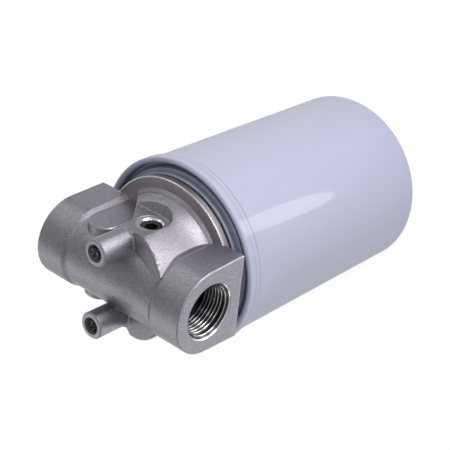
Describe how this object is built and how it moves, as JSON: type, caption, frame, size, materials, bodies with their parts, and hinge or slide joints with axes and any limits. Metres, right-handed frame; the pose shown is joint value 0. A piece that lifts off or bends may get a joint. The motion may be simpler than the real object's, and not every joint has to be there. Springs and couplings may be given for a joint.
{
  "type": "hydraulic spin-on filter",
  "caption": "Hydraulic spin-on filter: cast head with two threaded ports and two mounting pillars, screwed onto a painted steel can that holds a pleated element.",
  "frame": {"origin": "centre of the can's closed end, on the plane it stands on", "axes": "+Z along the can's axis towards the head, X through both ports with the inlet at +X, Y through both gauge ports and both pillars"},
  "size_m": [0.1178, 0.1178, 0.2333],
  "materials": {
    "can_paint": "gloss",
    "ring_paint": "satin",
    "rubber": "matte",
    "zinc_steel": "satin",
    "filter_paper": "matte",
    "spring_steel": "satin",
    "cast_aluminium": "cast",
    "black_steel": "blackened"
  },
  "bodies": {
    "cartridge": {"can": "can_paint", "cover_ring": "ring_paint", "thread_plate": "zinc_steel", "upper_end_cap": "zinc_steel", "lower_end_cap": "zinc_steel", "element_grommet": "rubber", "center_tube": "zinc_steel", "pleated_media": "filter_paper", "pleat_clip": "zinc_steel", "bypass_seal": "rubber", "bypass_spring": "spring_steel", "bypass_cage": "zinc_steel", "spring_seat": "zinc_steel", "element_spring": "spring_steel"},
    "seal_ring": {"gasket": "rubber"},
    "head": {"filter_head": "cast_aluminium", "threaded_nipple": "zinc_steel", "gauge_plug_top": "black_steel", "gauge_plug_bottom": "black_steel"},
    "bypass_valve": {"bypass_poppet": "zinc_steel"}
  },
  "joints": [
    {"name": "unscrew", "type": "hinge", "parent": "cartridge", "child": "seal_ring", "pos_m": [0, 0, 0.164], "axis": [0, 0, 1], "range_deg": [0, 1790]},
    {"name": "unscrew_lift", "type": "slide", "parent": "seal_ring", "child": "head", "axis": [0, 0, 1], "range_m": [0, 0.0115]},
    {"name": "bypass_lift", "type": "slide", "parent": "cartridge", "child": "bypass_valve", "axis": [0, 0, 1], "range_m": [0, 0.005], "stiffness_N_per_m": 2000, "springref_m": -0.012, "deforming": ["bypass_spring"]}
  ],
  "couplings": [
    {"joint": "unscrew_lift", "follows": "unscrew", "m_per_rad": 0.00036749}
  ]
}
